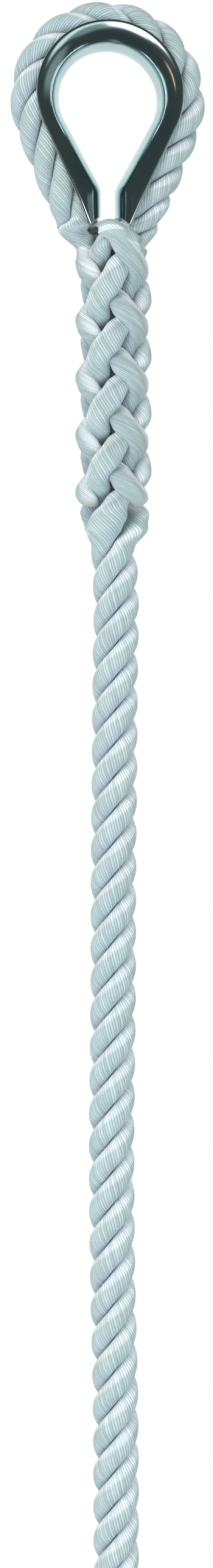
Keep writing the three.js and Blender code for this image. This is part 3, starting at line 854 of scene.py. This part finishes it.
class Nodes:
    """Adds nodes to a tree and joins them"""

    def __init__(self, tree):
        self.tree = tree

    def add(self, kind, given=None, **settings):
        """A node with its settings, and with values or outputs put into its inputs"""
        node = self.tree.nodes.new(kind)
        for name, value in settings.items():
            setattr(node, name, value)
        self.fill(node, given or {})
        return node

    def fill(self, node, given):
        for place, value in given.items():
            if isinstance(value, bpy.types.NodeSocket):
                self.tree.links.new(value, node.inputs[place])
            else:
                node.inputs[place].default_value = value

    def math(self, operation, a, b=0.0):
        return self.add("ShaderNodeMath", {0: a, 1: b}, operation=operation).outputs[0]

    def plus(self, a, b):
        return self.math("ADD", a, b)

    def minus(self, a, b):
        return self.math("SUBTRACT", a, b)

    def times(self, a, b):
        return self.math("MULTIPLY", a, b)

    def mix(self, factor, a, b, kind="RGBA", blend="MIX"):
        first = {"FLOAT": 2, "RGBA": 6}[kind]
        node = self.add("ShaderNodeMix", {0: factor, first: a, first + 1: b},
                        data_type=kind, blend_type=blend)
        return next(out for out in node.outputs if out.enabled)

    def span(self, value, low, high, to_low=0.0, to_high=1.0, smooth=False):
        ends = dict(enumerate((value, low, high, to_low, to_high)))
        kind = "SMOOTHSTEP" if smooth else "LINEAR"
        return self.add("ShaderNodeMapRange", ends, interpolation_type=kind).outputs[0]

    def vector(self, x, y, z=0.0):
        return self.add("ShaderNodeCombineXYZ", {0: x, 1: y, 2: z}).outputs[0]

    def noise(self, vector, scale, detail=2.0, roughness=0.5):
        node = self.add("ShaderNodeTexNoise", {"Vector": vector, "Scale": scale, "Detail": detail,
                                               "Roughness": roughness})
        return node.outputs["Fac"]

    def blended(self, factor, first, second):
        return self.add("ShaderNodeMixShader", {0: factor, 1: first, 2: second}).outputs[0]

    def bump(self, height, strength, distance):
        node = self.add("ShaderNodeBump", {"Height": height, "Strength": strength,
                                           "Distance": distance})
        return node.outputs[0]

    def attribute(self, name):
        return self.add("ShaderNodeAttribute", attribute_name=name).outputs["Fac"]

    def place(self, kind="Object"):
        return self.add("ShaderNodeTexCoord").outputs[kind]


def yarn_group():
    """Colour and relief of yarns that run along a strand, from its Yarn map"""
    tree = bpy.data.node_groups.new("Yarn cover", "ShaderNodeTree")
    for name, kind, value in (("Yarn Color", "Color", (0.7, 0.8, 0.8, 1)),
                              ("Groove Shade Color", "Color", (0.3, 0.4, 0.4, 1)),
                              ("Groove Width", "Float", 0.3), ("Variation", "Float", 0.1),
                              ("Fuzz", "Float", 0.5), ("Color", "Color", None),
                              ("Height", "Float", None), ("Roughness", "Float", None)):
        made = tree.interface.new_socket(name=name, in_out="OUTPUT" if value is None else "INPUT",
                                         socket_type="NodeSocket" + kind)
        if value is not None:
            made.default_value = value
    n = Nodes(tree)
    given = n.add("NodeGroupInput").outputs
    yarns = n.add("ShaderNodeUVMap", uv_map="Yarn").outputs[0]
    across, along, _ = n.add("ShaderNodeSeparateXYZ", {0: yarns}).outputs
    number = n.math("FLOOR", across)
    edge = n.math("ABSOLUTE", n.minus(n.times(n.math("FRACT", across), 2.0), 1.0))
    groove = n.span(edge, n.minus(1.0, given["Groove Width"]), 1.0, smooth=True)
    chance = n.add("ShaderNodeTexWhiteNoise", {"W": number}, noise_dimensions="1D")
    tint = n.times(n.minus(chance.outputs["Value"], 0.5), given["Variation"])
    # Filaments lean a little against their yarn
    leaning = n.plus(n.times(across, 7.0), n.times(along, 1.1))
    filament = n.noise(n.vector(leaning, n.times(along, 0.35), number), 1.0, 3.0, 0.6)
    patches = n.noise(n.vector(n.times(across, 0.25), n.times(along, 0.08)), 1.0)
    patchy = n.times(n.minus(patches, 0.5), n.times(given["Variation"], 1.6))
    fine = n.times(n.minus(filament, 0.5), n.times(given["Fuzz"], 0.5))
    bright = n.plus(n.plus(1.0, n.plus(tint, patchy)), fine)
    scaled = n.add("ShaderNodeVectorMath", operation="SCALE")
    n.fill(scaled, {0: given["Yarn Color"], "Scale": bright})
    # Painted shade: the colour is mixed towards the darker groove colour between the yarns
    n.add("NodeGroupOutput", {
        "Color": n.mix(groove, scaled.outputs[0], given["Groove Shade Color"]),
        "Height": n.minus(n.times(filament, given["Fuzz"]), n.times(groove, 1.2)),
        "Roughness": n.span(filament, 0.3, 0.7, 0.52, 0.8)})
    return tree


def empty_tree(owner):
    owner.use_nodes = True
    owner.node_tree.nodes.clear()
    return Nodes(owner.node_tree)


def shared(name, make, rope):
    """The material of that name, made the first time that it is wanted"""
    return bpy.data.materials.get(name) or make(name, rope)


def new_material(name):
    """A material, its nodes and its shader"""
    material = bpy.data.materials.new(name)
    material.use_nodes = True
    n = Nodes(material.node_tree)
    return material, n, next(node for node in n.tree.nodes if node.type == "BSDF_PRINCIPLED")


def yarn_material(name, rope):
    material, n, shader = new_material(name)
    cover = n.add("ShaderNodeGroup", {
        "Yarn Color": (*rope.yarn_color, 1), "Groove Shade Color": (*rope.groove_shade_color, 1),
        "Groove Width": 0.5, "Variation": 0.26, "Fuzz": 0.6}, node_tree=yarn_group()).outputs
    # Painted light: flanks that face up the rope are painted whiter, as if lit from above, and
    # flanks that face down into the valleys are painted blue-grey shade
    painted_top_light = n.attribute("painted_top_light")
    flank = (0.96, 1.0, 0.97, 1)
    shade = n.mix(n.span(painted_top_light, -0.55, 0.0, smooth=True), (*rope.painted_valley_shade, 1), flank)
    shade = n.mix(n.span(painted_top_light, 0.2, 0.5, smooth=True), shade, (*rope.painted_ridge_highlight, 1))
    tinted = n.mix(1.0, cover["Color"], shade, blend="MULTIPLY")
    sealed = n.attribute("sealed")
    height = n.mix(sealed, cover["Height"], 0.5, kind="FLOAT")
    n.fill(shader, {
        "Base Color": n.mix(sealed, tinted, (*rope.sealed_color, 1)),
        "Roughness": n.mix(sealed, cover["Roughness"], 0.35, kind="FLOAT"),
        "Normal": n.bump(height, strength=0.55, distance=0.00025),
        "Sheen Weight": 0.25, "Sheen Roughness": 0.4, "Specular IOR Level": 0.35})
    return material


def sealed_material(name, rope):
    material, n, shader = new_material(name)
    grain = n.add("ShaderNodeTexVoronoi", feature="SMOOTH_F1")
    n.fill(grain, {"Vector": n.place(), "Scale": 900})
    grain = grain.outputs["Distance"]
    dark = (*(0.6 * c for c in rope.sealed_color), 1)
    n.fill(shader, {
        "Base Color": n.mix(n.span(grain, 0.1, 0.6), (*rope.sealed_color, 1), dark),
        "Roughness": n.span(grain, 0.1, 0.6, 0.3, 0.55),
        "Normal": n.bump(grain, strength=0.5, distance=0.0004)})
    return material


def steel_material(eye):
    material, n, shader = new_material("Polished steel")
    place = n.place()
    cloud = n.noise(place, 60, 3.0)
    stretched = n.add("ShaderNodeMapping", {"Vector": place, "Scale": (260, 2400, 260)})
    scratch = n.noise(stretched.outputs[0], 1.0, 2.0, 0.7)
    marks = n.span(scratch, 0.6, 0.78, smooth=True)
    darker = (*(0.8 * c for c in eye.steel_color), 1)
    n.fill(shader, {
        "Base Color": n.mix(n.span(cloud, 0.35, 0.7), (*eye.steel_color, 1), darker),
        "Roughness": n.plus(n.span(cloud, 0.3, 0.7, 0.10, 0.17), n.times(marks, 0.12)),
        "Normal": n.bump(n.minus(cloud, n.times(marks, 0.5)), strength=0.12, distance=0.0001),
        "Metallic": 1.0})
    return material


def floor_material(stage):
    """Pale to the camera, and as white as the background in the polished steel"""
    material, n, shader = new_material("Pale floor")
    n.fill(shader, {"Base Color": (*stage.floor_color, 1), "Roughness": 0.8})
    white = n.add("ShaderNodeEmission").outputs[0]
    mirrored = n.add("ShaderNodeLightPath").outputs["Is Glossy Ray"]
    result = next(node for node in n.tree.nodes if node.type == "OUTPUT_MATERIAL")
    n.fill(result, {"Surface": n.blended(mirrored, shader.outputs[0], white)})
    return material


def glow_material(name, color, fading=True):
    """A card that glows by itself; a fading one thins out towards its edges"""
    material = bpy.data.materials.new(name)
    n = empty_tree(material)
    surface = n.add("ShaderNodeEmission", {"Color": (*color, 1)}).outputs[0]
    if fading:
        place = n.add("ShaderNodeSeparateXYZ", {0: n.place("Generated")}).outputs
        from_middle = [n.math("ABSOLUTE", n.minus(out, 0.5)) for out in place[:2]]
        across, up = (n.span(distance, 0.5, 0.2, smooth=True) for distance in from_middle)
        clear = n.add("ShaderNodeBsdfTransparent").outputs[0]
        surface = n.blended(n.times(across, up), clear, surface)
    n.add("ShaderNodeOutputMaterial", {"Surface": surface})
    return material


# Operators

PARTS = ("root", "upper", "middle", "lower")
PATH_STEPS = 20


def settings():
    scene = bpy.context.scene
    return [getattr(scene, name) for name in SETTINGS]


def course_now():
    return RopeCourse(*settings()[:3])


class THIMBLEEYE_OT_stage(Operator):
    """Camera, lamps, floor and the pale air round the object"""

    bl_idname = "thimbleeye.stage"
    bl_label = "Stage"

    def execute(self, context):
        stage = settings()[3]
        context.scene.view_settings.view_transform = "Standard"
        self.camera(context.scene, stage)
        self.world(context.scene, stage)
        self.plane("Floor", (0, 0, stage.floor_height), (0, 0, 1), 2.0, 2.0, floor_material(stage))
        self.lamps(stage)
        self.cards()
        return {"FINISHED"}

    def camera(self, scene, stage):
        data = bpy.data.cameras.new("Camera")
        camera = linked("Camera", data)
        data.sensor_fit = "VERTICAL"
        data.sensor_height = 36
        data.lens = data.sensor_height / (stage.frame_height / stage.camera_distance)
        data.clip_start = 0.05
        turn = stage.camera_turn
        camera.location = (
            stage.view_across * math.cos(turn) + stage.camera_distance * math.sin(turn),
            stage.view_across * math.sin(turn) - stage.camera_distance * math.cos(turn),
            stage.view_height)
        camera.rotation_euler = (math.pi / 2, 0, turn)
        scene.camera = camera

    def world(self, scene, stage):
        scene.world = bpy.data.worlds.new("Pale air")
        n = empty_tree(scene.world)
        rays = n.add("ShaderNodeLightPath").outputs
        seen = n.math("MAXIMUM", rays["Is Camera Ray"], rays["Is Glossy Ray"])
        air, white = (n.add("ShaderNodeBackground", {"Color": (*color, 1)}).outputs[0]
                      for color in (stage.air_color, (1, 1, 1)))
        n.add("ShaderNodeOutputWorld", {"Surface": n.blended(seen, air, white)})

    def plane(self, name, centre, facing, width, height, material):
        """A flat card, facing the crown unless told otherwise"""
        w, h = width / 2, height / 2
        corners = [(-w, -h, 0), (w, -h, 0), (w, h, 0), (-w, h, 0)]
        card = linked(name, mesh_of(name, corners, [(0, 1, 2, 3)], material))
        card.location = centre
        facing = -Vector(centre) if facing is None else Vector(facing)
        card.rotation_euler = facing.to_track_quat("Z", "Y").to_euler()
        return card

    def lamps(self, stage):
        """Soft lamps, which the polished steel does not mirror"""
        target = Vector((0, 0, stage.view_height))
        for name, place, size, power, color in (
                ("Key lamp", (-1.3, -1.4, 0.3), 1.5, stage.key_power, (1.0, 0.97, 1.0)),
                ("Fill lamp", (0.25, -1.0, -0.8), 0.9, stage.fill_power, (0.93, 0.97, 1.0))):
            data = bpy.data.lights.new(name, "AREA")
            data.shape = "SQUARE"
            data.size = size
            data.energy = power
            data.color = color
            lamp = linked(name, data)
            lamp.location = place
            lamp.rotation_euler = (target - Vector(place)).to_track_quat("-Z", "Y").to_euler()
            lamp.visible_glossy = False

    def cards(self):
        """The dark room before the object, seen only in the polished steel"""
        dark = glow_material("Dark card", (0.05, 0.063, 0.062), fading=False)
        grey = glow_material("Grey card", (0.30, 0.35, 0.35))
        window = glow_material("Window", (7.0, 6.6, 7.4))
        pale = glow_material("Pale card", (1.0, 1.15, 1.15))
        slit = glow_material("Slit of light", (1.6, 1.6, 1.7))
        # A warm strip that glows, seen only in the polished steel as a tan reflection
        warm_glow = glow_material("Warm strip", (2.6, 1.5, 0.95))
        for name, centre, facing, width, height, material in (
                ("Dark card front", (0, -1.6, 0), (0, 1, 0), 3.4, 3.0, dark),
                ("Dark card left", (-1.7, -0.55, 0), (1, 0, 0), 2.1, 3.0, dark),
                ("Dark card right", (1.7, -0.55, 0), (-1, 0, 0), 2.1, 3.0, dark),
                ("Dark card above", (0, -0.55, 1.5), (0, 0, -1), 3.4, 2.1, dark),
                ("Dark card below", (0, -0.8, -0.88), (0, 0, 1), 3.4, 1.6, dark),
                ("Grey card right", (1.0, -0.5, -0.1), (-1, 0.5, 0), 0.9, 1.1, grey),
                ("Grey card low", (0.35, -1.1, -0.4), None, 0.9, 0.9, grey),
                ("Pale card", (0.40, -1.05, -0.10), None, 0.8, 0.42, pale),
                ("Window", (-0.09, -1.05, -0.24), None, 0.5, 0.6, window),
                ("Slit left", (-1.6, -0.12, 0.1), (1, 0.1, 0), 0.3, 1.6, slit),
                ("Slit right", (1.6, -0.12, 0.1), (-1, 0.1, 0), 0.3, 1.6, slit),
                ("Warm strip", (-0.72, -0.86, 0), None, 0.08, 0.5, warm_glow)):
            card = self.plane(name, centre, facing, width, height, material)
            for rays in ("camera", "diffuse", "shadow", "transmission"):
                setattr(card, "visible_" + rays, False)


class THIMBLEEYE_OT_standing_rope(Operator):
    """The standing rope below the splice, in three stretches"""

    bl_idname = "thimbleeye.standing_rope"
    bl_label = "Standing rope"

    def execute(self, context):
        rope = settings()[0]
        course = course_now()
        stretch = (course.rope_end - course.splice_end) / len(PARTS[1:])
        for i, part in enumerate(PARTS[1:]):
            last = part == PARTS[-1]
            top, bottom = (course.splice_end + stretch * cut for cut in (i, i + 1))
            mesh = StrandMesh(course)
            hanging_strands(course, top, bottom, mesh, last)
            piece = mesh.build("hanging_rope_" + part, rope)
            path_z = np.linspace(top, bottom, PATH_STEPS)
            path = [(float(x) * MM, 0.0, float(z) * MM)
                    for x, z in zip(course.line(path_z), path_z)]
            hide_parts(*("standing_rope_" + held for held in PARTS[i:i + 2]))
            bend = course.splice_end + stretch * (i + 0.5)
            across = float(course.line(bend)) * MM
            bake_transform(piece)
        return {"FINISHED"}


class THIMBLEEYE_OT_strands(Operator):
    """The three strands through the splice and round the eye"""

    bl_idname = "thimbleeye.strands"
    bl_label = "Spliced strands"

    def execute(self, context):
        rope = settings()[0]
        course = course_now()
        for index, letter in enumerate(LETTERS):
            mesh = StrandMesh(course)
            spliced_strand(course, index, mesh)
            piece = mesh.build(f"rope_strand_{letter}", rope)
            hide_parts(*(f"{part}_strand_{letter}"
                                 for part in ("standing", "eye", "tucked")))
            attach(piece, "eye")
        return {"FINISHED"}


class THIMBLEEYE_OT_thimble(Operator):
    """The polished thimble"""

    bl_idname = "thimbleeye.thimble"
    bl_label = "Thimble"

    def execute(self, context):
        eye = settings()[1]
        piece = build_thimble(course_now(), eye, steel_material(eye))
        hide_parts("thimble")
        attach(piece, "eye")
        return {"FINISHED"}


class THIMBLEEYE_PT_panel(Panel):
    """The object's pieces and their sizes"""

    bl_label = "Thimble eye"
    bl_idname = "THIMBLEEYE_PT_panel"
    bl_space_type = "VIEW_3D"
    bl_region_type = "UI"
    bl_category = "Thimble eye"

    def draw(self, context):
        layout = self.layout
        for operator in OPERATORS:
            layout.operator(operator.bl_idname)
        for name, group in SETTINGS.items():
            box = layout.box()
            for prop in group.__annotations__:
                box.prop(getattr(context.scene, name), prop)


SETTINGS = {
    "thimble_rope": RopeSettings,
    "thimble_eye": EyeSettings,
    "thimble_splice": SpliceSettings,
    "thimble_stage": StageSettings,
}
OPERATORS = (
    THIMBLEEYE_OT_stage,
    THIMBLEEYE_OT_standing_rope,
    THIMBLEEYE_OT_strands,
    THIMBLEEYE_OT_thimble,
)


def register():
    for item in (*SETTINGS.values(), *OPERATORS, THIMBLEEYE_PT_panel):
        bpy.utils.register_class(item)
    for name, group in SETTINGS.items():
        setattr(bpy.types.Scene, name, PointerProperty(type=group))


def unregister():
    for name in SETTINGS:
        delattr(bpy.types.Scene, name)
    for item in (THIMBLEEYE_PT_panel, *reversed(OPERATORS), *reversed(SETTINGS.values())):
        bpy.utils.unregister_class(item)


def main():
    register()
    bpy.ops.thimbleeye.stage()
    bpy.ops.thimbleeye.standing_rope()
    bpy.ops.thimbleeye.strands()
    bpy.ops.thimbleeye.thimble()


if __name__ == "__main__":
    main()
